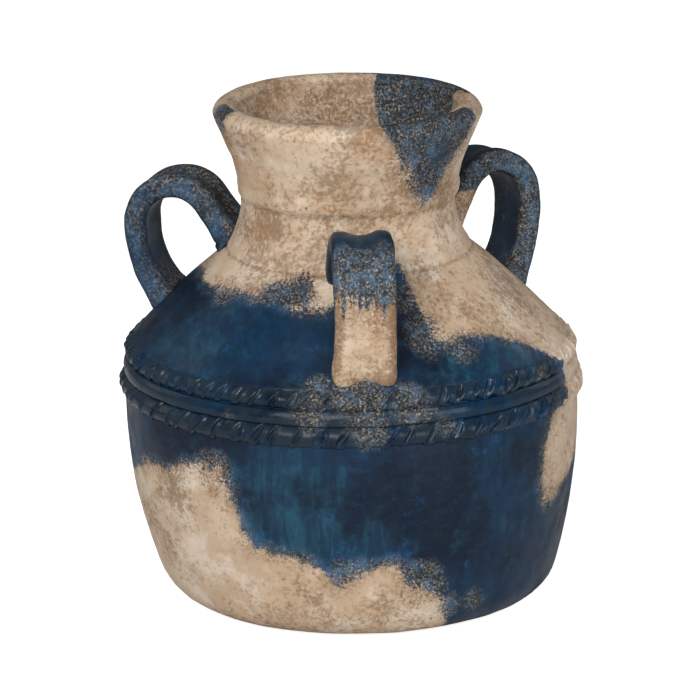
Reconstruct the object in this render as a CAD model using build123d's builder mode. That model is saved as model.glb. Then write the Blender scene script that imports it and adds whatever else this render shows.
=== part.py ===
from build123d import *
from math import asin, cos, degrees, radians, sin
import os

# A squat three-handled clay amphora, built up from the pieces that a potter joins.
#
# The jar is coil-built in sections: a floor slab, a bellied lower body, a domed shoulder, a
# collar, a flared mouth and a rim rolled from the last coil. A ridge is laid round the top of
# the collar, and two impressed rope bands with a smooth belt between them cover the joint of
# body and shoulder. Three pulled strap handles rise from the neck's root, arch over and come
# down on the shoulder. Every piece is luted to its neighbours with slip, so nothing moves.
#
# Frame: +Z up, origin at the centre of the resting face, front handle towards -Y. Millimetres.

os.makedirs("parts", exist_ok=True)

# Overall sizes
rim_height = 340.0  # resting face to the top of the rim
belly_radius, belly_height = 153.0, 130.0  # outer face of the wall at the belly
foot_radius = 105.5  # flat of the resting face
wall = 9.0
floor_thickness = 10.0

# Outer face of the wall between the foot and the mouth
heel_inset, heel_height = 17.8, 21.5  # end of the round heel, in from the belly
edge_inset, edge_height = 6.5, 178.5  # corner between body and shoulder, in from the belly
shoulder_bulge = 1.2  # of the shoulder above a straight cone
root_radius, root_height = 85.5, 237.0  # where the shoulder meets the neck
collar_radius, collar_height = 76.0, 253.0  # halfway up the collar
throat_radius, throat_height = 71.8, 272.0  # narrowest part of the neck
flare_radius, flare_height = 77.9, 302.0  # halfway up the flared mouth

# Heights at which the sections of wall are joined
belly_joint = 158.0
mouth_joint = 276.0
joint_bevel = 1.4  # chamfer on both lips of the neck's joint, which shows as a groove

# The rim's rolled coil
rim_coil = 18.0
rim_radius = 81.5  # of the coil's centre
lip_proud = 1.5  # of the coil outside the flared mouth's face

# Rope bands, and the marks pressed across them with the edge of a round tool
lower_rope_low, lower_rope_high = 141.0, 155.5
upper_rope_low, upper_rope_high = 165.5, 178.0
rope_proud = 3.6  # crown of a rope band above the wall
rope_edge = 1.4  # its edges above the wall
belt_proud = 3.0
ridge_low, ridge_high = 276.5, 286.0
ridge_edge, ridge_proud = 0.5, 2.8
lower_rope_marks, upper_rope_marks = 64, 78
mark_width = 3.2
mark_depth = 2.0
mark_lean = 38.0  # degrees from upright
tool_radius = 13.0

# Strap handles
strap_width = 41.0
strap_thickness = 16.0
strap_rounding = 5.4  # corners of the strap's section
trough_width, trough_depth = 20.0, 2.8  # hollow along the outer face
trough_rounding = 2.5
root_length = 40.0  # of the straight stretch that runs down into the neck's root
root_tilt = 33.0  # of that stretch, in degrees from upright

# Azimuth, radius and height of the arch's centre, arch radius, radius of the curve from the
# arch to the foot, height that the foot is aimed at, and sideways lean in degrees
handles = {
    "handle_front": (270.0, 115.5, 240.5, 28.8, 200.0, 178.0, 0.0),
    "handle_right": (28.0, 109.5, 257.5, 26.5, 110.0, 192.0, -5.0),
    "handle_left": (160.0, 118.5, 249.5, 27.5, 80.0, 192.0, 0.0),
}

heel_radius = belly_radius - heel_inset
edge_radius = belly_radius - edge_inset
coil_height = rim_height - rim_coil / 2
neck_joint = root_height + 1.5 * joint_bevel


def outer_face_line():
    """The wall's outer face from the foot up to the middle of the rim's coil, inside BuildLine."""
    heel = TangentArc((foot_radius, 0), (heel_radius, heel_height), tangent=(1, 0))
    body = TangentArc(heel @ 1, (belly_radius, belly_height), tangent=heel % 1)
    upper_body = TangentArc(body @ 1, (edge_radius, edge_height), tangent=body % 1)
    shoulder = SagittaArc(upper_body @ 1, (root_radius, root_height), -shoulder_bulge)
    neck = ThreePointArc(
        shoulder @ 1, (collar_radius, collar_height), (throat_radius, throat_height)
    )
    mouth_end = (rim_radius + rim_coil / 2 - lip_proud, coil_height)
    ThreePointArc(neck @ 1, (flare_radius, flare_height), mouth_end)
    return mouth_end


# The whole wall's section, which the joints then divide
with BuildSketch(Plane.XZ) as wall_face:
    with BuildLine():
        outer_face_line()
        offset(amount=wall, side=Side.LEFT, closed=True)
    make_face()

# The same outline filled in to the axis, which trims what is laid on the wall
with BuildSketch(Plane.XZ) as filled_face:
    with BuildLine():
        top = outer_face_line()
        Polyline(top, (0, top[1]), (0, 0), (foot_radius, 0))
    make_face()


def wall_radius(height):
    """Radius of the wall's outer face at a height."""
    level = Edge.make_line((0, height, 0), (2 * belly_radius, height, 0))
    return max(v.X for v in (filled_face.sketch_local & level).vertices())


def band_section(low, high, edge, crown, inner_radius):
    """Section of a band laid on the wall, crowned between its edges, inside BuildLine."""
    middle = (low + high) / 2
    low_corner = (wall_radius(low) + edge, low)
    high_corner = (wall_radius(high) + edge, high)
    ThreePointArc(low_corner, (wall_radius(middle) + crown, middle), high_corner)
    Polyline(high_corner, (inner_radius, high), (inner_radius, low), low_corner)


def save(piece, name):
    piece.part.label = name
    export_step(piece.part, f"parts/{name}.step")


# Floor slab
with BuildPart() as floor_slab:
    Cylinder(foot_radius, floor_thickness, align=(Align.CENTER, Align.CENTER, Align.MIN))
save(floor_slab, "floor_slab")

# Sections of the wall: name, lower joint, upper joint
sections = {
    "lower_body": (0, belly_joint),
    "shoulder": (belly_joint, neck_joint),
    "neck_collar": (neck_joint, mouth_joint),
    "flared_mouth": (mouth_joint, rim_height),
}
for name, (low, high) in sections.items():
    with BuildPart() as section:
        with BuildSketch(Plane.XZ):
            add(wall_face.sketch_local)
            with Locations((belly_radius, (low + high) / 2)):
                Rectangle(2 * belly_radius, high - low, mode=Mode.INTERSECT)
            with Locations((rim_radius, coil_height)):
                Circle(rim_coil / 2, mode=Mode.SUBTRACT)
        revolve(axis=Axis.Z)
        if neck_joint in (low, high):
            lips = section.edges().filter_by(GeomType.CIRCLE).group_by(Axis.Z)
            lip = lips[0] if low == neck_joint else lips[-1]
            chamfer(lip.sort_by(SortBy.RADIUS)[-1], joint_bevel)
    save(section, name)

# Rim
with BuildPart() as rim:
    with BuildSketch(Plane.XZ):
        with Locations((rim_radius, coil_height)):
            Circle(rim_coil / 2)
    revolve(axis=Axis.Z)
save(rim, "rim")

# Bands laid round the wall: lower and upper edge, height of their edges and of their crown
# above the wall, and number of pressed marks
bands = {
    "lower_rope": (lower_rope_low, lower_rope_high, rope_edge, rope_proud, lower_rope_marks),
    "belt": (lower_rope_high, upper_rope_low, rope_edge, belt_proud, 0),
    "upper_rope": (upper_rope_low, upper_rope_high, rope_edge, rope_proud, upper_rope_marks),
    "neck_ridge": (ridge_low, ridge_high, ridge_edge, ridge_proud, 0),
}
for name, (low, high, edge, crown, marks) in bands.items():
    middle = (low + high) / 2
    with BuildPart() as band:
        with BuildSketch(Plane.XZ):
            with BuildLine():
                band_section(low, high, edge, crown, wall_radius(middle) - wall / 2)
            make_face()
            add(filled_face.sketch_local, mode=Mode.SUBTRACT)
        revolve(axis=Axis.Z)
        if marks:
            reach = wall_radius(middle) + crown + tool_radius - mark_depth
            with Locations(Plane.XY.offset(middle)):
                with PolarLocations(reach, marks):
                    Cylinder(
                        tool_radius, mark_width, rotation=(90 + mark_lean, 0, 0), mode=Mode.SUBTRACT
                    )
    save(band, name)

# The jar filled solid, with its upper rope, against which the handles' ends are fitted
with BuildPart() as fitting_body:
    with BuildSketch(Plane.XZ):
        add(filled_face.sketch_local)
        with BuildLine():
            band_section(upper_rope_low, upper_rope_high, rope_edge, rope_proud, 0)
        make_face()
    revolve(axis=Axis.Z)

# Strap handles
trough_radius = (trough_width**2 / 4 + trough_depth**2) / (2 * trough_depth)
tilt = radians(root_tilt)
for name, (azimuth, reach, height, arch, curve, foot, lean) in handles.items():
    outward = Vector(1, 0, 0).rotate(Axis.Z, azimuth)
    across = Vector(0, 1, 0).rotate(Axis.Z, azimuth).rotate(Axis((0, 0, 0), tuple(outward)), lean)
    with BuildPart() as handle:
        with BuildLine(Plane((0, 0, height), x_dir=outward, z_dir=-across)) as centre_line:
            root_end = (reach - arch * cos(tilt), arch * sin(tilt))
            root_start = (root_end[0] - root_length * sin(tilt), root_end[1] - root_length * cos(tilt))
            root = Line(root_start, root_end)
            top = JernArc(root @ 1, tangent=root % 1, radius=arch, arc_size=root_tilt - 180)
            drop = degrees(asin((height - foot) / curve))
            JernArc(top @ 1, tangent=(0, -1), radius=curve, arc_size=-drop)
        start = centre_line.line @ 0
        with BuildSketch(Plane(start, x_dir=across, z_dir=centre_line.line % 0)) as strap:
            RectangleRounded(strap_width, strap_thickness, strap_rounding)
            with Locations((0, strap_thickness / 2 - trough_depth + trough_radius)):
                Circle(trough_radius, mode=Mode.SUBTRACT)
            fillet(strap.vertices().sort_by_distance((0, 0))[:2], trough_rounding)
        sweep(path=centre_line.wire())
        add(fitting_body.part, mode=Mode.SUBTRACT)
    save(handle, name)
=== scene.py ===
import math

import bmesh
import bpy
import numpy as np
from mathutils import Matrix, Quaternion, Vector
from mathutils.kdtree import KDTree


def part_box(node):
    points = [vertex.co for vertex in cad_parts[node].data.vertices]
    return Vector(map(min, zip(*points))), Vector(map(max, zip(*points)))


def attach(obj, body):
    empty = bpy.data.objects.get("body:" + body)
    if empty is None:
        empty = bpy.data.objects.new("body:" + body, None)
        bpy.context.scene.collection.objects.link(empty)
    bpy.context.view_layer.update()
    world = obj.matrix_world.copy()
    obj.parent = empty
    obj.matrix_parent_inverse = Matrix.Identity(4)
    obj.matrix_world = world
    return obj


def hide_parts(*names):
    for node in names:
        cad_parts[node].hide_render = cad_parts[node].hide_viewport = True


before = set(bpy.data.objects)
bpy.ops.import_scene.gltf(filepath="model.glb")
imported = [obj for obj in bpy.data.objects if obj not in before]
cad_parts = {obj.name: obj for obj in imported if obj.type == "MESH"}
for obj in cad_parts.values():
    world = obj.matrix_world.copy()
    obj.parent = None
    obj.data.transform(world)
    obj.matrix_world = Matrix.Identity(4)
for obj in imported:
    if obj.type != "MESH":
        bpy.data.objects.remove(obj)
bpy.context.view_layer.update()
mm = 0.001
print("frame loaded with", len(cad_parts), "CAD nodes")


def feed(tree, value, socket):
    if isinstance(value, Wire):
        tree.links.new(value.socket, socket)
    elif isinstance(value, bpy.types.NodeSocket):
        tree.links.new(value, socket)
    else:
        socket.default_value = value


class Wire:
    # a number on its way through a node tree, which can be added, multiplied and so on
    def __init__(self, tree, socket):
        self.tree = tree
        self.socket = socket

    def math(self, operation, *others):
        node = self.tree.nodes.new("ShaderNodeMath")
        node.operation = operation
        for value, socket in zip((self, *others), node.inputs):
            feed(self.tree, value, socket)
        return Wire(self.tree, node.outputs[0])

    def __add__(self, other):
        return self.math("ADD", other)

    def __sub__(self, other):
        return self.math("SUBTRACT", other)

    def __mul__(self, other):
        return self.math("MULTIPLY", other)

    def __truediv__(self, other):
        return self.math("DIVIDE", other)

    def __neg__(self):
        return self.math("MULTIPLY", -1.0)

    def above(self, low, high):
        # 0 below low, 1 above high and smooth between, or the other way round if low is the larger
        node = self.tree.nodes.new("ShaderNodeMapRange")
        node.interpolation_type = "SMOOTHSTEP"
        for value, name in ((self, "Value"), (low, "From Min"), (high, "From Max")):
            feed(self.tree, value, node.inputs[name])
        return Wire(self.tree, node.outputs["Result"])


def addNode(tree, kind, settings=None, values=None):
    node = tree.nodes.new(kind)
    for name, value in (settings or {}).items():
        setattr(node, name, value)
    for name, value in (values or {}).items():
        feed(tree, value, node.inputs[name])
    return node


def noiseWire(tree, vector, scale, detail=2.0, seed=0.0, roughness=0.5):
    node = addNode(
        tree,
        "ShaderNodeTexNoise",
        {"noise_dimensions": "4D"},
        {"Vector": vector, "W": seed, "Scale": scale, "Detail": detail, "Roughness": roughness},
    )
    return Wire(tree, node.outputs[0])


def newGeometryTree(name, inputs):
    tree = bpy.data.node_groups.new(name, "GeometryNodeTree")
    tree.interface.new_socket("Geometry", in_out="INPUT", socket_type="NodeSocketGeometry")
    for label, value in inputs.items():
        socket = tree.interface.new_socket(label, in_out="INPUT", socket_type="NodeSocketFloat")
        socket.default_value = value
    tree.interface.new_socket("Material", in_out="INPUT", socket_type="NodeSocketMaterial")
    tree.interface.new_socket("Geometry", in_out="OUTPUT", socket_type="NodeSocketGeometry")
    start = tree.nodes.new("NodeGroupInput")
    wires = {label: Wire(tree, start.outputs[label]) for label in inputs}
    return tree, start, wires


def finishGeometryTree(tree, start, push):
    # the surface moves along its normal by the number push
    normal = addNode(tree, "GeometryNodeInputNormal")
    offset = addNode(tree, "ShaderNodeVectorMath", {"operation": "SCALE"}, {"Vector": normal.outputs[0]})
    feed(tree, push, offset.inputs["Scale"])
    moved = addNode(
        tree,
        "GeometryNodeSetPosition",
        values={"Geometry": start.outputs["Geometry"], "Offset": offset.outputs[0]},
    )
    real = addNode(tree, "GeometryNodeRealizeInstances", values={"Geometry": moved.outputs[0]})
    coloured = addNode(
        tree,
        "GeometryNodeSetMaterial",
        values={"Geometry": real.outputs[0], "Material": start.outputs["Material"]},
    )
    end = tree.nodes.new("NodeGroupOutput")
    tree.links.new(coloured.outputs[0], end.inputs[0])
    return tree


def applyTree(obj, tree, values, material):
    modifier = obj.modifiers.new(tree.name, "NODES")
    modifier.node_group = tree
    for item in tree.interface.items_tree:
        if item.in_out == "INPUT" and item.name in values:
            modifier[item.identifier] = values[item.name]
        if item.in_out == "INPUT" and item.name == "Material":
            modifier[item.identifier] = material
    makeReal(obj)


def makeReal(obj):
    # the evaluated mesh takes the place of the mesh and its modifiers
    bpy.context.view_layer.update()
    evaluated = obj.evaluated_get(bpy.context.evaluated_depsgraph_get())
    mesh = bpy.data.meshes.new_from_object(evaluated)
    obj.modifiers.clear()
    before = obj.data
    obj.data = mesh
    bpy.data.meshes.remove(before)


def handBuiltTree():
    # dents from the hand, small lumps, and the faint level rings that wiping leaves
    tree, start, wires = newGeometryTree(
        "handBuiltClay",
        {
            "Dent Size": 0.06,
            "Dent Depth": 0.001,
            "Lump Size": 0.012,
            "Lump Depth": 0.0003,
            "Ring Pitch": 0.007,
            "Ring Depth": 0.0002,
            "Seed": 1.0,
        },
    )
    position = addNode(tree, "GeometryNodeInputPosition").outputs[0]
    one = Wire(tree, addNode(tree, "ShaderNodeValue").outputs[0])
    one.socket.default_value = 1.0
    dents = noiseWire(tree, position, one / wires["Dent Size"], 1.0, wires["Seed"]) - 0.5
    lumps = noiseWire(tree, position, one / wires["Lump Size"], 2.0, wires["Seed"] + 7.0) - 0.5
    apart = addNode(tree, "ShaderNodeSeparateXYZ", values={"Vector": position})
    level = addNode(
        tree,
        "ShaderNodeCombineXYZ",
        values={
            "X": Wire(tree, apart.outputs["X"]) * 9.0,
            "Y": Wire(tree, apart.outputs["Y"]) * 9.0,
            "Z": Wire(tree, apart.outputs["Z"]) / wires["Ring Pitch"],
        },
    )
    rings = noiseWire(tree, level.outputs[0], 1.0, 1.0, wires["Seed"] + 3.0) - 0.5
    push = dents * wires["Dent Depth"] + lumps * wires["Lump Depth"] + rings * wires["Ring Depth"]
    return finishGeometryTree(tree, start, push * 2.0)


def ropeTree():
    # slanted oval marks pressed one after another round a band, each with a raised lip
    tree, start, wires = newGeometryTree(
        "pressedRope",
        {
            "Marks": 64.0,
            "Middle Height": 0.148,
            "Band Radius": 0.155,
            "Mark Length": 0.013,
            "Mark Width": 0.006,
            "Mark Depth": 0.0016,
            "Lip Height": 0.0010,
            "Lean": 0.7,
            "Unevenness": 0.25,
            "Seed": 1.0,
        },
    )
    position = addNode(tree, "GeometryNodeInputPosition").outputs[0]
    apart = addNode(tree, "ShaderNodeSeparateXYZ", values={"Vector": position})
    x, y, z = (Wire(tree, apart.outputs[axis]) for axis in "XYZ")
    turn = y.math("ARCTAN2", x) / (2 * math.pi)
    along = turn * wires["Marks"]
    spacing = wires["Band Radius"] * (2 * math.pi) / wires["Marks"]
    number = (along + 0.5).math("FLOOR")
    wrapped = (number + wires["Marks"] * 2.0).math("FLOORED_MODULO", wires["Marks"])

    def chance(shift):
        node = addNode(
            tree,
            "ShaderNodeTexWhiteNoise",
            {"noise_dimensions": "1D"},
            {"W": wrapped * 1.37 + wires["Seed"] * 11.0 + shift},
        )
        return Wire(tree, node.outputs["Value"]) - 0.5

    up = z - wires["Middle Height"] + chance(0.1) * 0.002
    lean = wires["Lean"] * (chance(0.2) * wires["Unevenness"] * 2.0 + 1.0)
    across = (along - number) * spacing - up * lean + chance(0.3) * wires["Unevenness"] * spacing
    width = wires["Mark Width"] * (chance(0.4) * wires["Unevenness"] * 2.0 + 1.0) * 0.5
    length = wires["Mark Length"] * 0.5
    u = across / width
    v = up / length
    reach = (u * u + v * v).math("SQRT")
    hollow = (-(reach * reach) + 1.0).math("MAXIMUM", 0.0).math("POWER", 0.7)
    lip = ((reach - 1.15) / 0.32).math("POWER", 2.0).math("MULTIPLY", -1.0).math("EXPONENT")
    lip = lip * (u.above(2.4, 1.2)) * (chance(0.5) + 0.9) * (u * 0.3 + 0.8)
    strength = chance(0.6) * 0.8 + 1.0
    push = lip * wires["Lip Height"] - hollow * wires["Mark Depth"] * strength
    return finishGeometryTree(tree, start, push)


handBuilt = handBuiltTree()
pressedRope = ropeTree()
print("geometry node trees built")


def sectionLoop(nodeName):
    # closed loop of (radius, height) in millimetres where an upright half plane cuts a CAD node
    bm = bmesh.new()
    bm.from_mesh(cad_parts[nodeName].data)
    bmesh.ops.remove_doubles(bm, verts=bm.verts, dist=1e-6)
    side = Vector((-math.sin(1.9), math.cos(1.9), 0))  # an azimuth with no handle in the way
    outward = Vector((math.cos(1.9), math.sin(1.9), 0))
    geometry = bm.verts[:] + bm.edges[:] + bm.faces[:]
    cut = bmesh.ops.bisect_plane(bm, geom=geometry, plane_co=(0, 0, 0), plane_no=side)["geom_cut"]
    edges = [e for e in cut if isinstance(e, bmesh.types.BMEdge)]
    edges = [e for e in edges if min(v.co.dot(outward) for v in e.verts) > -1e-6]
    nextTo = {}
    for edge in edges:
        a, b = edge.verts
        nextTo.setdefault(a, []).append(b)
        nextTo.setdefault(b, []).append(a)
    first = min(nextTo, key=lambda v: (len(nextTo[v]), v.co.z))
    loop = [first]
    before, here = None, first
    while True:
        ways = [v for v in nextTo[here] if v is not before]
        if not ways or ways[0] is first:
            break
        before, here = here, ways[0]
        loop.append(here)
    points = np.array([(v.co.dot(outward), v.co.z) for v in loop]) / mm
    bm.free()
    return points


def resample(loop, spacing, closed=True, corner=25.0):
    # evenly spaced points along a loop, which keeps its corners; spacing is a function of a point
    count = len(loop)
    ahead = np.roll(loop, -1, axis=0) - loop
    behind = loop - np.roll(loop, 1, axis=0)
    turn = np.degrees(np.arctan2(np.cross(behind, ahead), (behind * ahead).sum(1)))
    corners = [i for i in range(count) if abs(turn[i]) > corner or (not closed and i in (0, count - 1))]
    if not corners:
        corners = [0]
    ends = corners[1:] + ([corners[0] + count] if closed else [])
    result = []
    for a, b in zip(corners, ends):
        stretch = loop[[i % count for i in range(a, b + 1)]]
        lengths = np.r_[0, np.cumsum(np.hypot(*np.diff(stretch, axis=0).T))]
        step = spacing(stretch.mean(0))
        pieces = max(1, round(lengths[-1] / step))
        at = np.linspace(0, lengths[-1], pieces + 1)[:-1]
        radii, heights = (np.interp(at, lengths, stretch[:, column]) for column in (0, 1))
        result += list(zip(radii, heights))
    if not closed:
        result.append(tuple(loop[-1]))
    return np.array(result)


def turnedMesh(name, loop, segments, closed=True):
    # the loop, in millimetres, turned round the jar's axis
    angles = np.linspace(0, 2 * math.pi, segments, endpoint=False)
    rows = len(loop)
    co = np.empty((segments, rows, 3))
    co[:, :, 0] = np.cos(angles)[:, None] * loop[:, 0]
    co[:, :, 1] = np.sin(angles)[:, None] * loop[:, 0]
    co[:, :, 2] = loop[:, 1]
    i, j = np.meshgrid(np.arange(segments), np.arange(rows if closed else rows - 1), indexing="ij")
    nextI, nextJ = (i + 1) % segments, (j + 1) % rows
    faces = np.stack([i * rows + j, nextI * rows + j, nextI * rows + nextJ, i * rows + nextJ], -1)
    mesh = bpy.data.meshes.new(name)
    mesh.from_pydata((co * mm).reshape(-1, 3).tolist(), [], faces.reshape(-1, 4).tolist())
    bm = bmesh.new()
    bm.from_mesh(mesh)
    bmesh.ops.remove_doubles(bm, verts=bm.verts, dist=1e-6)
    bmesh.ops.dissolve_degenerate(bm, edges=bm.edges, dist=1e-7)
    bmesh.ops.recalc_face_normals(bm, faces=bm.faces)
    bm.to_mesh(mesh)
    bm.free()
    mesh.shade_smooth()
    return addObject(name, mesh)


def addObject(name, mesh):
    obj = bpy.data.objects.new(name, mesh)
    bpy.context.scene.collection.objects.link(obj)
    return obj


def softCopy(name, nodes, voxel, rounds):
    # one skin round copies of CAD nodes, with their edges and joints softened as wet clay is
    bm = bmesh.new()
    for node in nodes:
        bm.from_mesh(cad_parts[node].data)
    bmesh.ops.remove_doubles(bm, verts=bm.verts, dist=1e-6)
    mesh = bpy.data.meshes.new(name)
    bm.to_mesh(mesh)
    bm.free()
    obj = addObject(name, mesh)
    remesh = obj.modifiers.new("skin", "REMESH")
    remesh.mode = "VOXEL"
    remesh.voxel_size = voxel * mm
    soften = obj.modifiers.new("soften", "SMOOTH")
    soften.factor = 0.5
    soften.iterations = rounds
    makeReal(obj)
    obj.data.shade_smooth()
    return obj


def readPoints(obj):
    co = np.empty(len(obj.data.vertices) * 3)
    obj.data.vertices.foreach_get("co", co)
    return co.reshape(-1, 3) / mm


def writePoints(obj, co):
    obj.data.vertices.foreach_set("co", (co * mm).ravel())
    obj.data.update()


def readNormals(obj):
    normals = np.empty(len(obj.data.vertices) * 3)
    obj.data.vertex_normals.foreach_get("vector", normals)
    return normals.reshape(-1, 3)


wallNodes = ["lower_body", "shoulder", "neck_collar", "flared_mouth", "rim"]
loops = {node: sectionLoop(node) for node in wallNodes + ["floor_slab", "belt"]}
print("sections read:", {node: len(loop) for node, loop in loops.items()})
wallThickness = 9.0


def outerProfile():
    # radius of the jar's outer face at each millimetre of height
    heights = np.arange(0, 341.0)
    radii = np.zeros_like(heights)
    for node in wallNodes:
        ends = np.roll(loops[node], -1, axis=0)
        for (r0, z0), (r1, z1) in zip(loops[node], ends):
            if abs(z1 - z0) < 1e-6:
                continue
            share = (heights - z0) / (z1 - z0)
            on = (share >= 0) & (share <= 1)
            radii[on] = np.maximum(radii[on], (r0 + share * (r1 - r0))[on])
    radii[0] = radii[1]
    radii[-1] = radii[-2]
    return heights, radii


profileHeights, profileRadii = outerProfile()


def wallRadius(height):
    return np.interp(height, profileHeights, profileRadii)


print("wall radii at foot, belly and throat:", [round(float(wallRadius(h)), 1) for h in (20, 125, 272)])


# Bare areas and glazed islands as outlines of (azimuth in degrees, height in mm), and soft spots
# of (azimuth, height, radius in mm, strength)
paint = {
    "bareOutside": [
        [
            (180, 226), (200, 224), (222, 226), (237, 225), (250, 222), (262, 223), (268, 240),
            (284, 250), (290, 245), (293, 226), (295, 203), (307, 202), (314, 199), (320, 192),
            (328, 183), (334, 173), (336, 152), (328, 142), (323, 118), (321, 98), (324, 83),
            (331, 85), (338, 91), (346, 98), (356, 104), (370, 122), (380, 150), (388, 176),
            (402, 190), (420, 204), (440, 212), (460, 205), (480, 197), (500, 205), (520, 220),
            (540, 226), (540, 420), (180, 420),
        ],
        [
            (180, 91), (189, 93), (200, 107), (208, 109), (214, 105), (219, 116), (230, 121),
            (234, 105), (236, 83), (239, 67), (249, 62), (256, 57), (261, 45), (268, 56),
            (276, 58), (281, 41), (288, 33), (292, 13), (296, -20), (395, -20), (410, 8),
            (425, 30), (440, 52), (458, 64), (478, 50), (500, 62), (515, 84), (530, 93),
            (540, 91), (540, -60), (180, -60),
        ],
    ],
    "glazedOutside": [
        [
            (229, 222), (230, 231), (236, 236), (241, 239), (247, 240), (250, 236), (252, 228),
            (249, 221), (240, 219), (233, 219),
        ],
        [
            (281, 358), (281, 338), (288, 322), (293, 306), (300, 293), (307, 283), (313, 279),
            (317, 284), (320, 295), (325, 309), (331, 320), (336, 334), (338, 358),
        ],
        [(4, 358), (8, 330), (20, 320), (40, 323), (62, 320), (80, 330), (86, 358)],
        [(182, 358), (184, 334), (191, 322), (200, 330), (203, 358)],
    ],
    "glazedInside": [
        [
            (372, 330), (376, 255), (396, 236), (428, 244), (432, 262), (427, 300), (432, 330),
            (428, 362), (380, 362),
        ],
        [(282, 362), (290, 336), (301, 329), (312, 332), (323, 336), (338, 362)],
    ],
    "speckled": [
        (230, 226, 12, 0.9), (244, 229, 18, 1.0), (235, 228, 14, 0.9), (256, 166, 18, 0.8),
        (268, 178, 24, 1.0), (281, 167, 19, 0.9), (270, 156, 20, 0.8), (290, 152, 13, 0.6),
        (258, 182, 12, 0.8), (296, 312, 22, 1.1), (330, 316, 22, 1.1), (300, 336, 26, 1.1),
        (322, 334, 24, 1.1), (316, 296, 20, 1.0), (308, 312, 16, 0.4), (229, 116, 20, 1.0),
        (216, 108, 14, 0.8), (236, 66, 16, 0.6), (262, 50, 20, 0.7), (283, 42, 22, 1.1),
        (292, 22, 14, 0.8), (292, 206, 22, 0.9), (300, 196, 18, 0.7), (286, 226, 16, 0.8),
        (212, 224, 16, 0.8), (250, 224, 14, 0.9), (190, 334, 24, 0.9), (322, 170, 12, 0.5),
        (20, 150, 26, 0.8), (120, 205, 30, 0.8), (60, 200, 22, 0.7), (455, 60, 22, 0.8),
        (300, 24, 14, 0.7), (235, 158, 9, 0.5), (326, 84, 14, 0.9), (30, 336, 26, 0.7),
        (62, 336, 22, 0.8), (340, 338, 20, 0.5), (166, 336, 20, 0.6),
    ],
    "speckledInside": [
        (96, 300, 46, 1.0), (80, 284, 36, 1.0), (120, 292, 24, 0.6), (300, 336, 18, 0.9),
        (66, 300, 26, 0.7), (40, 270, 50, 0.45), (30, 320, 26, 0.8), (52, 300, 52, 1.15),
        (26, 320, 40, 1.0),
    ],
    "bright": [
        (322, 143, 12, 1.0), (236, 92, 16, 0.7), (205, 108, 14, 0.8), (310, 286, 9, 1.0),
        (299, 320, 14, 1.0), (308, 326, 12, 0.8), (262, 196, 20, 0.7), (288, 240, 12, 0.6),
        (308, 200, 12, 0.8), (334, 168, 12, 0.7), (224, 160, 8, 0.7), (246, 158, 10, 0.5),
        (60, 120, 30, 0.7), (130, 150, 34, 0.7), (150, 90, 20, 0.8), (186, 334, 14, 0.7),
        (262, 62, 26, 0.8), (238, 78, 22, 0.8), (276, 66, 20, 0.6), (204, 100, 12, 0.8),
    ],
    "teal": [
        (250, 84, 50, 1.1), (270, 66, 40, 1.0), (256, 112, 30, 0.7), (300, 186, 36, 0.8),
        (318, 184, 24, 0.7), (216, 196, 34, 0.8), (205, 190, 28, 0.8), (240, 120, 26, 0.4),
        (30, 60, 50, 0.8), (110, 130, 50, 0.8), (90, 180, 30, 0.6), (314, 312, 30, 0.6),
    ],
    "stainsAndShade": [
        (318, 212, 46, 0.7), (346, 204, 44, 0.6), (300, 228, 30, 0.7), (212, 96, 24, 0.7),
        (230, 112, 16, 1.0), (262, 50, 16, 0.7), (204, 66, 26, 0.4), (240, 30, 30, 0.1),
        (258, 285, 40, 0.6), (285, 270, 40, 0.6), (232, 290, 30, 0.6), (286, 296, 18, 0.4),
        (330, 262, 34, 0.6), (300, 262, 24, 0.3), (214, 262, 30, 0.6), (226, 240, 24, 0.5),
        (322, 100, 20, 0.5), (10, 200, 60, 0.6), (60, 240, 50, 0.5), (130, 240, 60, 0.5),
        (330, 330, 20, 0.8), (250, 337, 30, 0.8), (272, 337, 34, 1.2), (292, 336, 20, 0.7),
        (216, 334, 24, 0.6), (400, 20, 60, 0.5), (100, 60, 50, 0.5), (160, 300, 50, 0.5),
    ],
    # dirt in the joints and round the foot; the ring at 275 is partly dirt in the ridge's joint, partly
    # painted shade under the neck ridge: height, width and strength
    "rings": [
        (275.0, 2.4, 1.0), (239.0, 1.6, 0.9), (320.0, 3.0, 0.5), (2.0, 5.0, 0.8), (339.0, 2.5, 0.3),
    ],
}


def onWall(azimuth, height):
    radius = wallRadius(height)
    turn = np.radians(azimuth)
    return np.stack([radius * np.cos(turn), radius * np.sin(turn), height + 0 * radius], -1)


def insideOutline(outline, azimuth, height):
    # which points lie in an outline of azimuth and height, one turn up or down allowed
    outline = np.array(outline, float)
    ends = np.roll(outline, -1, axis=0)
    found = np.zeros(len(azimuth), bool)
    for turn in (0, 360, -360):
        a = azimuth + turn
        crossings = np.zeros(len(a), int)
        for (a0, h0), (a1, h1) in zip(outline, ends):
            if h0 == h1:
                continue
            between = (height >= min(h0, h1)) & (height < max(h0, h1))
            crossings += between & (a < a0 + (height - h0) * (a1 - a0) / (h1 - h0))
        found |= crossings % 2 == 1
    return found


def outlineTree(outlines):
    # the outlines' edges as points on the wall, to measure distances to
    points = []
    for outline in outlines:
        for start, end in zip(outline, outline[1:] + outline[:1]):
            if start[0] == end[0] and start[0] % 180 == 0:
                continue  # the seam where an outline that goes all round meets itself
            pieces = max(2, int(math.hypot((end[0] - start[0]) * 2.6, end[1] - start[1]) / 1.5))
            for share in np.arange(pieces) / pieces:
                points.append([a + share * (b - a) for a, b in zip(start, end)])
    points = np.array(points)
    tree = KDTree(len(points))
    for i, place in enumerate(onWall(points[:, 0], points[:, 1])):
        tree.insert(place, i)
    tree.balance()
    return tree


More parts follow.
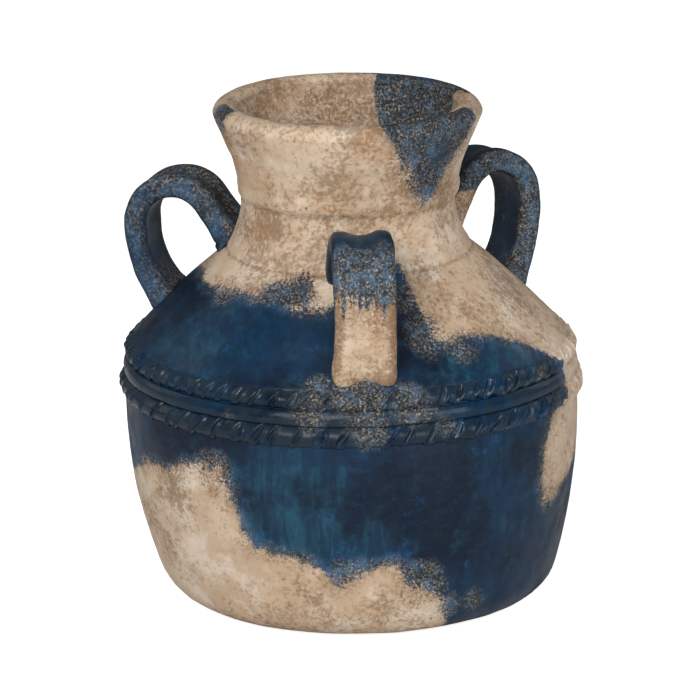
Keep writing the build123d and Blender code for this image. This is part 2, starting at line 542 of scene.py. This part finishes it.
def signedDistance(outlines, co, azimuth):
    # millimetres from the outlines' edges, positive inside them
    tree = outlineTree(outlines)
    distance = np.array([tree.find(point)[2] for point in co.tolist()])
    inside = np.zeros(len(co), bool)
    for outline in outlines:
        inside |= insideOutline(outline, azimuth, co[:, 2])
    return np.where(inside, distance, -distance)


def softSpots(spots, co):
    total = np.zeros(len(co))
    for azimuth, height, radius, strength in spots:
        gap = np.linalg.norm(co - onWall(azimuth, height), axis=1) / radius
        total = np.maximum(total, strength * np.clip(1.25 - gap, 0, 1))
    return total


def giveAttribute(obj, name, values):
    attribute = obj.data.attributes.new(name, "FLOAT", "POINT")
    attribute.data.foreach_set("value", np.asarray(values, np.float32))


def paintWall(obj, banded=0.0):
    # glazeEdge is the distance into the glaze in millimetres, negative over bare clay
    co = readPoints(obj)
    azimuth = np.degrees(np.arctan2(co[:, 1], co[:, 0])) % 360
    radius = np.hypot(co[:, 0], co[:, 1])
    inner = radius < wallRadius(co[:, 2]) - wallThickness * 0.55
    outside = np.maximum(
        -signedDistance(paint["bareOutside"], co, azimuth),
        signedDistance(paint["glazedOutside"], co, azimuth),
    )
    within = signedDistance(paint["glazedInside"], co, azimuth)
    edge = np.where(inner, within, outside)
    underside = readNormals(obj)[:, 2] < -0.8
    edge = np.where(underside & (co[:, 2] < 3), -12, edge)
    giveAttribute(obj, "glazeEdge", edge)
    spots = np.where(inner, softSpots(paint["speckledInside"], co), softSpots(paint["speckled"], co))
    giveAttribute(obj, "speckled", spots)
    giveAttribute(obj, "bright", np.where(inner, 0, softSpots(paint["bright"], co)))
    giveAttribute(obj, "teal", softSpots(paint["teal"], co))
    stainsAndShade = softSpots(paint["stainsAndShade"], co)
    for height, width, strength in paint["rings"]:
        stainsAndShade = np.maximum(stainsAndShade, strength * np.exp(-(((co[:, 2] - height) / width) ** 2)))
    # the whole inside of the jar gets 0.75: painted shade that darkens the clay inside the mouth
    giveAttribute(obj, "stainsAndShade", np.where(inner, 0.75, stainsAndShade))
    giveAttribute(obj, "banded", banded + 0 * radius)


potColours = {
    "clay": (0.560, 0.440, 0.325, 1),
    "tan": (0.440, 0.315, 0.205, 1),
    "pale": (0.680, 0.590, 0.490, 1),
    "brown": (0.155, 0.085, 0.042, 1),
    "rust": (0.400, 0.220, 0.105, 1),
    "navy": (0.0030, 0.0090, 0.0230, 1),
    "blue": (0.0050, 0.0280, 0.0660, 1),
    "tealGlaze": (0.0120, 0.0600, 0.1000, 1),
    "brightBlue": (0.0140, 0.0900, 0.2300, 1),
    "skyBlue": (0.085, 0.165, 0.255, 1),
    "slate": (0.014, 0.024, 0.034, 1),
    "charcoal": (0.018, 0.018, 0.019, 1),
    "ash": (0.200, 0.185, 0.160, 1),
}


def newMaterial(name):
    material = bpy.data.materials.new(name)
    material.use_nodes = True
    tree = material.node_tree
    shader = tree.nodes["Principled BSDF"]
    return material, tree, shader


def mixColour(tree, share, first, second):
    node = tree.nodes.new("ShaderNodeMix")
    node.data_type = "RGBA"
    feed(tree, share, node.inputs[0])
    feed(tree, first, node.inputs[6])
    feed(tree, second, node.inputs[7])
    return node.outputs[2]


def fieldWire(tree, name):
    node = addNode(tree, "ShaderNodeAttribute", {"attribute_name": name})
    return Wire(tree, node.outputs["Fac"])


def stretched(tree, vector, scale, turn=(0, 0, 0)):
    return addNode(
        tree, "ShaderNodeMapping", values={"Vector": vector, "Scale": scale, "Rotation": turn}
    ).outputs[0]


def potMaterial(name, seed):
    material, tree, shader = newMaterial(name)
    place = addNode(tree, "ShaderNodeTexCoord").outputs["Object"]
    edge, speckled = fieldWire(tree, "glazeEdge"), fieldWire(tree, "speckled")
    bright, teal = fieldWire(tree, "bright"), fieldWire(tree, "teal")
    stainsAndShade, banded = fieldWire(tree, "stainsAndShade"), fieldWire(tree, "banded")

    def grain(scale, detail=3.0, shift=0.0, vector=place, roughness=0.5):
        return noiseWire(tree, vector, scale, detail, seed + shift, roughness)

    # the clay: buff with tan and pale clouds, brown grains in clusters, rust stains, a few pits; the
    # extra rust and brown grains inside the jar and under the neck ridge are painted shade
    clouds = grain(12, 9, 1, roughness=0.64)
    patches = grain(44, 8, 2, roughness=0.70)
    grit = grain(380, 5, 3, roughness=0.70)
    clay = mixColour(tree, clouds.above(0.44, 0.60) * 0.75, potColours["clay"], potColours["tan"])
    paleShare = grain(30, 8, 4, roughness=0.66).above(0.48, 0.64) * 0.7
    clay = mixColour(tree, paleShare, clay, potColours["pale"])
    rustAndShade = patches * 0.5 + grain(210, 6, 26, roughness=0.7) * 0.3 + grit * 0.2 + stainsAndShade * 0.07
    clay = mixColour(tree, rustAndShade.above(0.51, 0.64) * 0.6, clay, potColours["rust"])
    grains = grain(190, 6, 5, roughness=0.75) * 0.5 + grit * 0.5 + (grain(26, 4, 6) - 0.5) * 0.45
    brownGrainsAndShade = (grains + stainsAndShade * 0.085).above(0.50, 0.64)
    clay = mixColour(tree, brownGrainsAndShade * 0.62, clay, potColours["brown"])
    pits = addNode(
        tree, "ShaderNodeTexVoronoi", {"feature": "F1"}, {"Vector": place, "Scale": 62.0}
    )
    pitted = Wire(tree, pits.outputs["Distance"]).above(0.085, 0.05) * grain(19, 2, 7).above(0.52, 0.58)
    clay = mixColour(tree, pitted * 0.85, clay, potColours["brown"])

    # the glaze: deep blue pooling to navy, brushed streaks, teal and bright patches
    level = stretched(tree, place, (0.5, 0.5, 1.0), (0.20, -0.35, 0))
    slanted = stretched(tree, place, (1.0, 0.6, 0.22), (0, 0.35, 0))
    streaks = grain(240, 5, 8, level, 0.65)
    strokes = grain(120, 6, 9, slanted, 0.68)
    pools, drift = grain(17, 8, 10, roughness=0.6), grain(46, 8, 11, roughness=0.66)
    glaze = mixColour(tree, pools.above(0.42, 0.58), potColours["navy"], potColours["blue"])
    tealShare = (drift * 0.7 + teal * 0.17 + 0.12).above(0.49, 0.68)
    tealShare *= strokes.above(0.34, 0.62) * 0.6 + 0.4
    glaze = mixColour(tree, tealShare, glaze, potColours["tealGlaze"])
    brightShare = (grain(70, 7, 12, roughness=0.66) + bright * 0.13).above(0.57, 0.76)
    glaze = mixColour(tree, brightShare * 0.75, glaze, potColours["brightBlue"])
    glaze = mixColour(tree, streaks.above(0.46, 0.72) * 0.25, glaze, potColours["tealGlaze"])
    glaze = mixColour(tree, strokes.above(0.58, 0.42) * 0.45, glaze, potColours["navy"])
    slateShare = grain(300, 5, 25, roughness=0.7).above(0.50, 0.66) * 0.35
    glaze = mixColour(tree, slateShare, glaze, potColours["slate"])
    glaze = mixColour(tree, banded * drift.above(0.40, 0.58) * 0.8, glaze, potColours["slate"])

    # the glaze's ragged edge, thin and brushed out just inside it
    wobble = (grain(60, 4, 13, roughness=0.6) - 0.5) * (speckled * 12.0 + 16.0)
    nibble = (grain(480, 6, 14, roughness=0.78) - 0.5) * (speckled * 42.0 + 20.0)
    inGlaze = edge + wobble
    covered = (inGlaze + nibble).above(-1.8, 2.2)
    thin = inGlaze.above(13.0, 0.5) * (grain(24, 4, 15) + bright * 0.1).above(0.42, 0.58)
    wash = mixColour(tree, strokes.above(0.42, 0.60), potColours["brightBlue"], potColours["skyBlue"])
    washShare = thin * grain(90, 6, 16, slanted, 0.7).above(0.38, 0.62) * 0.8
    glaze = mixColour(tree, washShare, glaze, wash)

    # dry grains of ash and charcoal along parts of the edge and in the speckled places
    beside = inGlaze.math("ABSOLUTE").above(11.0, 0.5) * grain(21, 3, 17).above(0.38, 0.54)
    sponged = (speckled + (grain(64, 6, 18, roughness=0.65) - 0.5) * 1.1).above(0.22, 0.70)
    dry = beside.math("MAXIMUM", sponged)
    flecks = grain(600, 5, 19, roughness=0.75)
    onClay = mixColour(tree, flecks.above(0.43, 0.57) * 0.8, clay, potColours["brown"])
    onGlaze = mixColour(tree, flecks.above(0.47, 0.60), potColours["charcoal"], potColours["ash"])
    skyShare = (grain(130, 5, 20, roughness=0.7) + bright * 0.06).above(0.47, 0.66) * 0.62
    onGlaze = mixColour(tree, skyShare, onGlaze, potColours["skyBlue"])
    onGlaze = mixColour(tree, flecks.above(0.59, 0.64) * 0.8, onGlaze, potColours["clay"])
    dryTone = mixColour(tree, covered, onClay, onGlaze)
    colour = mixColour(tree, covered, clay, glaze)
    dryShare = dry * grain(210, 5, 21, roughness=0.7).above(0.28, 0.52)
    colour = mixColour(tree, dryShare * 0.9, colour, dryTone)
    feed(tree, colour, shader.inputs["Base Color"])

    # bare clay is matt, the glaze satin with duller and glossier places
    dull = grain(36, 4, 22, roughness=0.6).above(0.38, 0.66) * 0.22
    glazeRoughness = dull + dryShare * 0.30 - banded * 0.15 + 0.30
    feed(tree, covered * (glazeRoughness - 0.88) + 0.88, shader.inputs["Roughness"])
    shader.inputs["Specular IOR Level"].default_value = 0.19

    # relief under a millimetre: grit and pits in the clay, brush lines and an edge in the glaze
    bareRelief = grain(900, 3, 23) * 0.14 + grit * 0.34 - pitted * 0.4 - brownGrainsAndShade * 0.10
    glazeRelief = streaks * 0.16 + grain(420, 3, 24) * 0.10 + 0.16
    relief = bareRelief + covered * (glazeRelief - bareRelief) + dryShare * flecks * 0.30
    bump = addNode(tree, "ShaderNodeBump", values={"Height": relief, "Distance": 0.001})
    bump.inputs["Strength"].default_value = 0.8
    feed(tree, bump.outputs[0], shader.inputs["Normal"])
    return material


potClay = potMaterial("clayAndBlueGlaze", 2.0)
handleClay = potMaterial("handleClayAndBlueGlaze", 40.0)
print("materials built")


leaning = {"top": 170, "footShift": 5.2, "towards": -4.0}


def settle(obj):
    # the jar leans very slightly: its foot stands a few millimetres to one side of its belly
    co = readPoints(obj)
    below = np.clip(1 - co[:, 2] / leaning["top"], 0, 1)
    shift = leaning["footShift"] * below**1.5
    turn = math.radians(leaning["towards"])
    co[:, 0] += shift * math.cos(turn)
    co[:, 1] += shift * math.sin(turn)
    co[:, 2] = np.maximum(co[:, 2], 0)
    writePoints(obj, co)


def finishPiece(obj, slot, *nodes):
    settle(obj)
    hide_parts(*nodes)
    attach(obj, "root")
    print("piece", obj.name, "has", len(obj.data.polygons), "faces")


clayTouch = {
    "Dent Size": 0.055,
    "Dent Depth": 0.0011,
    "Lump Size": 0.013,
    "Lump Depth": 0.00035,
    "Ring Pitch": 0.006,
    "Ring Depth": 0.00022,
    "Seed": 3.0,
}
walls = {"segments": 512, "outerStep": 1.7, "innerStep": 4.5, "floorSegments": 192, "floorStep": 5.0}
neck = {
    "voxel": 1.3,
    "rounds": 6,
    "joint": 239.1,
    "overlap": 1.7,
    "jointStep": 0.35,
    "ridge": 281.2,
    "ridgeWorn": 1.3,
    "outerFace": ((302, 77.8), (331, 90.2)),
    "innerFace": ((296, 66.4), (333, 74.2)),
}


def rise(values, low, high):
    share = np.clip((values - low) / (high - low), 0, 1)
    return share * share * (3 - 2 * share)


def shapeNeck(obj):
    # the collar laps over the shoulder's lip, the ridge is worn low, and the rim's coil is smeared
    # down over both faces of the mouth
    co = readPoints(obj)
    height = co[:, 2].copy()
    radius = np.hypot(co[:, 0], co[:, 1])
    azimuth = np.arctan2(co[:, 1], co[:, 0])
    outer = rise(radius, wallRadius(height) - 5, wallRadius(height) - 2)
    uneven = 1 + 0.35 * np.sin(3 * azimuth + 1) + 0.25 * np.sin(7 * azimuth + 2)
    lap = (1 - rise(height, neck["joint"], neck["joint"] + 5)) * outer
    ridge = np.exp(-(((height - neck["ridge"]) / 4) ** 2)) * outer
    push = uneven * lap * neck["jointStep"] - ridge * neck["ridgeWorn"] * (2 - uneven)
    for (z0, r0), (z1, r1), share in (
        (*neck["outerFace"], outer),
        (*neck["innerFace"], 1 - rise(radius, wallRadius(height) - 7, wallRadius(height) - 4)),
    ):
        near = rise(height, z0, z0 + 7) * (1 - rise(height, z1 - 1, z1 + 4))
        push += (r0 + (height - z0) * (r1 - r0) / (z1 - z0) - radius) * near * share
    co[:, :2] *= (1 + push / radius)[:, None]
    co[:, 2] -= lap * neck["overlap"]
    writePoints(obj, co)


def makeWalls():
    def spacing(point):
        return walls["outerStep"] if point[0] > wallRadius(point[1]) - 2 else walls["innerStep"]

    for name, node in (("lowerBodyClay", "lower_body"), ("shoulderClay", "shoulder")):
        obj = turnedMesh(name, resample(loops[node], spacing), walls["segments"])
        applyTree(obj, handBuilt, clayTouch, potClay)
        paintWall(obj)
        finishPiece(obj, "blue_glaze", node)
    floorLoop = resample(loops["floor_slab"], lambda point: walls["floorStep"], closed=False)
    obj = turnedMesh("floorSlabClay", floorLoop, walls["floorSegments"], closed=False)
    applyTree(obj, handBuilt, clayTouch | {"Dent Depth": 0.0006}, potClay)
    paintWall(obj)
    finishPiece(obj, "buff_clay", "floor_slab")
    neckNodes = ["neck_collar", "neck_ridge", "flared_mouth", "rim"]
    obj = softCopy("neckAndRimClay", neckNodes, neck["voxel"], neck["rounds"])
    shapeNeck(obj)
    applyTree(obj, handBuilt, clayTouch | {"Ring Depth": 0.0003}, potClay)
    paintWall(obj)
    finishPiece(obj, "buff_clay", *neckNodes)


ropes = {
    "segments": 1560,
    "step": 0.62,
    "edge": -0.5,
    "crown": 3.7,
    "depth": 3.0,
    "beltStep": 1.2,
    "lower": {"Marks": 64.0, "Mark Length": 0.0125, "Mark Width": 0.0056, "Seed": 2.0},
    "upper": {"Marks": 76.0, "Mark Length": 0.0115, "Mark Width": 0.0050, "Seed": 5.0},
    "both": {"Mark Depth": 0.0021, "Lip Height": 0.0012, "Unevenness": 0.42, "Lean": 0.72},
}


def makeBands():
    for name, node, marks in (
        ("lowerRopeClay", "lower_rope", ropes["lower"]),
        ("upperRopeClay", "upper_rope", ropes["upper"]),
    ):
        low, high = (corner.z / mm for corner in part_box(node))
        middle = (low + high) / 2
        t = np.linspace(0, 1, 21)
        height = low + (high - low) * t
        proud = ropes["edge"] + (ropes["crown"] - ropes["edge"]) * np.sin(math.pi * t) ** 0.8
        face = np.stack([wallRadius(height) + proud, height], -1)
        back = wallRadius(middle) - ropes["depth"]
        loop = np.vstack([face, [(back, high), (back, low)]])
        obj = turnedMesh(name, resample(loop, lambda point: ropes["step"]), ropes["segments"])
        applyTree(obj, handBuilt, clayTouch | {"Lump Size": 0.02, "Lump Depth": 0.0006}, potClay)
        size = {"Middle Height": middle * mm, "Band Radius": (wallRadius(middle) + 3) * mm}
        applyTree(obj, pressedRope, ropes["both"] | marks | size, potClay)
        paintWall(obj, banded=1.0)
        finishPiece(obj, "blue_glaze", node)
    beltLoop = resample(loops["belt"], lambda point: ropes["beltStep"])
    obj = turnedMesh("beltClay", beltLoop, walls["segments"])
    applyTree(obj, handBuilt, clayTouch, potClay)
    paintWall(obj, banded=1.0)
    finishPiece(obj, "blue_glaze", "belt")


# Each handle's azimuth, the height under which its strap is bare, how speckled its top, its middle
# and its near side are, how bright its blue is, and how far its ends are smeared out
handles = {
    "handle_front": {
        "azimuth": 270.0, "bareBelow": 240.0, "middle": 1.25, "near": 0.3, "bright": 0.35, "flare": 1.2,
    },
    "handle_right": {
        "azimuth": 28.0, "bareBelow": 0.0, "top": 0.35, "near": 0.75, "bright": 0.9, "flare": 3.0,
    },
    "handle_left": {
        "azimuth": 160.0, "bareBelow": 0.0, "top": 0.65, "near": 0.45, "bright": 0.9, "flare": 3.0,
    },
}
strap = {"voxel": 1.15, "rounds": 7, "reach": 7.0, "sink": 2.2}


def flareEnds(obj, flare):
    # clay smeared outwards where a strap meets the wall, which it runs a little way into
    co = readPoints(obj)
    radius = np.hypot(co[:, 0], co[:, 1])
    slope = (wallRadius(co[:, 2] + 1) - wallRadius(co[:, 2] - 1)) / 2
    steep = 1 / np.sqrt(1 + slope**2)
    gap = (radius - wallRadius(co[:, 2])) * steep
    outward = np.stack([co[:, 0] / radius * steep, co[:, 1] / radius * steep, -slope * steep], -1)
    normals = readNormals(obj)
    sideways = normals - (normals * outward).sum(1)[:, None] * outward
    smear = flare * np.exp(-np.clip(gap, 0, None) / strap["reach"])
    facing = np.clip(np.linalg.norm(sideways, axis=1), 0, 1)
    co += sideways * (smear * facing)[:, None]
    co -= outward * (strap["sink"] * np.clip(1 - gap / 2.5, 0, 1))[:, None]
    writePoints(obj, co)


def paintHandle(obj, facts):
    co = readPoints(obj)
    normals = readNormals(obj)
    turn = math.radians(facts["azimuth"])
    out = co[:, 0] * math.cos(turn) + co[:, 1] * math.sin(turn)
    across = -co[:, 0] * math.sin(turn) + co[:, 1] * math.cos(turn)
    outward = normals[:, 0] * math.cos(turn) + normals[:, 1] * math.sin(turn)
    height = co[:, 2]
    front = facts["bareBelow"] > 0
    facingUp = rise(normals[:, 2], 0.2, 0.7)
    rim = rise(np.abs(across), 12, 18)  # the strap's two long edges
    near = rise(-normals[:, 1], 0.2, 0.75)  # the side turned to the front
    middle = np.exp(-(((height - facts["bareBelow"] - 9) / 17) ** 2))
    inner = rise(-outward, 0.2, 0.7)
    if front:
        face = rise(outward, 0.1, 0.5) * rise(out, 112, 122)
        drips = np.clip(np.sin(0.83 * across + 1.0) * np.sin(0.31 * across + 0.4), 0, 1)
        edge = height - facts["bareBelow"] + 40 * (1 - face) + 18 * drips**1.5
        speckled = facts["middle"] * middle * face + facts["near"] * rim * (height < 262) + 0.34 * face
        stainsAndShade = np.maximum(rim * (height < 268), rise(height, 196, 184)) + 0.5
        bright = facts["bright"] * (1 - rise(height, 268, 274)) * rise(height, 200, 236)
    else:
        edge = 26 + 0 * height
        cream = rise(-across, 6, 14) * rise(93 - out, 0, 6) * rise(274 - height, 0, 8)
        if facts["azimuth"] < 90:
            edge -= 40 * cream
        speckled = facts["top"] * facingUp + facts["near"] * near
        stainsAndShade = 0.5 + 0 * height
        # painted highlight: on the side handles the blue is brighter on the side turned to the front and
        # never on the face towards the wall
        bright = facts["bright"] * near * (1 - inner)
    giveAttribute(obj, "glazeEdge", np.clip(edge, -30, 30))
    giveAttribute(obj, "speckled", speckled)
    giveAttribute(obj, "bright", bright)
    # painted shade: the face towards the wall gets no teal, so it stays the darkest navy
    giveAttribute(obj, "teal", 0.3 * (1 - inner))
    giveAttribute(obj, "stainsAndShade", stainsAndShade)


def makeHandles():
    for node, facts in handles.items():
        name = node.replace("handle_", "") + "HandleClay"
        obj = softCopy(name, [node], strap["voxel"], strap["rounds"])
        flareEnds(obj, facts["flare"])
        applyTree(obj, handBuilt, clayTouch | {"Dent Size": 0.03, "Dent Depth": 0.0012}, handleClay)
        paintHandle(obj, facts)
        finishPiece(obj, "blue_glaze", node)


makeWalls()
makeBands()
makeHandles()


stage = {
    "floorRadius": 9.0,
    "floorGlow": 0.85,
    "worldLight": 0.16,
    "lightAim": 0.17,
    "azimuth": -4.0,
    "elevation": 15.5,
    "distance": 3.727,
    "lens": 283.0,
    "aimHeight": 0.1657,
    "roll": -0.58,
}


def makeStage():
    material, tree, shader = newMaterial("paleFloor")
    shader.inputs["Base Color"].default_value = (0.8, 0.8, 0.8, 1)
    shader.inputs["Roughness"].default_value = 0.9
    shader.inputs["Specular IOR Level"].default_value = 0.0
    shader.inputs["Emission Color"].default_value = (1, 1, 1, 1)
    seen = addNode(tree, "ShaderNodeLightPath").outputs["Is Camera Ray"]
    feed(tree, Wire(tree, seen) * stage["floorGlow"], shader.inputs["Emission Strength"])
    mesh = bpy.data.meshes.new("floor")
    bm = bmesh.new()
    bmesh.ops.create_circle(bm, cap_ends=True, segments=96, radius=stage["floorRadius"])
    bm.to_mesh(mesh)
    bm.free()
    mesh.materials.append(material)
    addObject("floor", mesh)

    world = bpy.data.worlds.new("studio")
    bpy.context.scene.world = world
    world.use_nodes = True
    background = world.node_tree.nodes["Background"]
    background.inputs["Color"].default_value = (1, 1, 1, 1)
    background.inputs["Strength"].default_value = stage["worldLight"]


def addLight(name, azimuth, elevation, distance, size, power):
    # azimuth 0 is the front, 90 the left
    light = bpy.data.lights.new(name, "AREA")
    light.shape = "RECTANGLE"
    light.size, light.size_y = size
    light.energy = power
    obj = bpy.data.objects.new(name, light)
    bpy.context.scene.collection.objects.link(obj)
    a, e = math.radians(azimuth), math.radians(elevation)
    away = Vector((-math.sin(a) * math.cos(e), -math.cos(a) * math.cos(e), math.sin(e)))
    obj.location = Vector((0, 0, stage["lightAim"])) + distance * away
    obj.rotation_euler = (-away).to_track_quat("-Z", "Y").to_euler()


def makeCamera():
    camera = bpy.data.cameras.new("camera")
    camera.sensor_width = 36
    camera.lens = stage["lens"]
    camera.clip_end = 50
    obj = bpy.data.objects.new("camera", camera)
    bpy.context.scene.collection.objects.link(obj)
    a, e = math.radians(stage["azimuth"]), math.radians(stage["elevation"])
    aim = Vector((0, 0, stage["aimHeight"]))
    away = Vector((math.sin(a) * math.cos(e), -math.cos(a) * math.cos(e), math.sin(e)))
    obj.location = aim + stage["distance"] * away
    turned = (-away).to_track_quat("-Z", "Y")
    roll = Quaternion((0, 0, 1), math.radians(stage["roll"]))
    obj.rotation_euler = (turned @ roll).to_euler()
    bpy.context.scene.camera = obj


makeStage()
addLight("keySoftbox", 24, 30, 2.3, (1.1, 1.1), 43)
addLight("fillSoftbox", -38, 14, 2.6, (1.6, 1.6), 27)
addLight("topSoftbox", 0, 85, 2.4, (1.8, 1.8), 4)
addLight("leftRim", 115, 25, 2.4, (0.8, 1.6), 4)
addLight("rightRim", -115, 25, 2.4, (0.8, 1.6), 4)
makeCamera()
bpy.context.scene.view_settings.view_transform = "Standard"
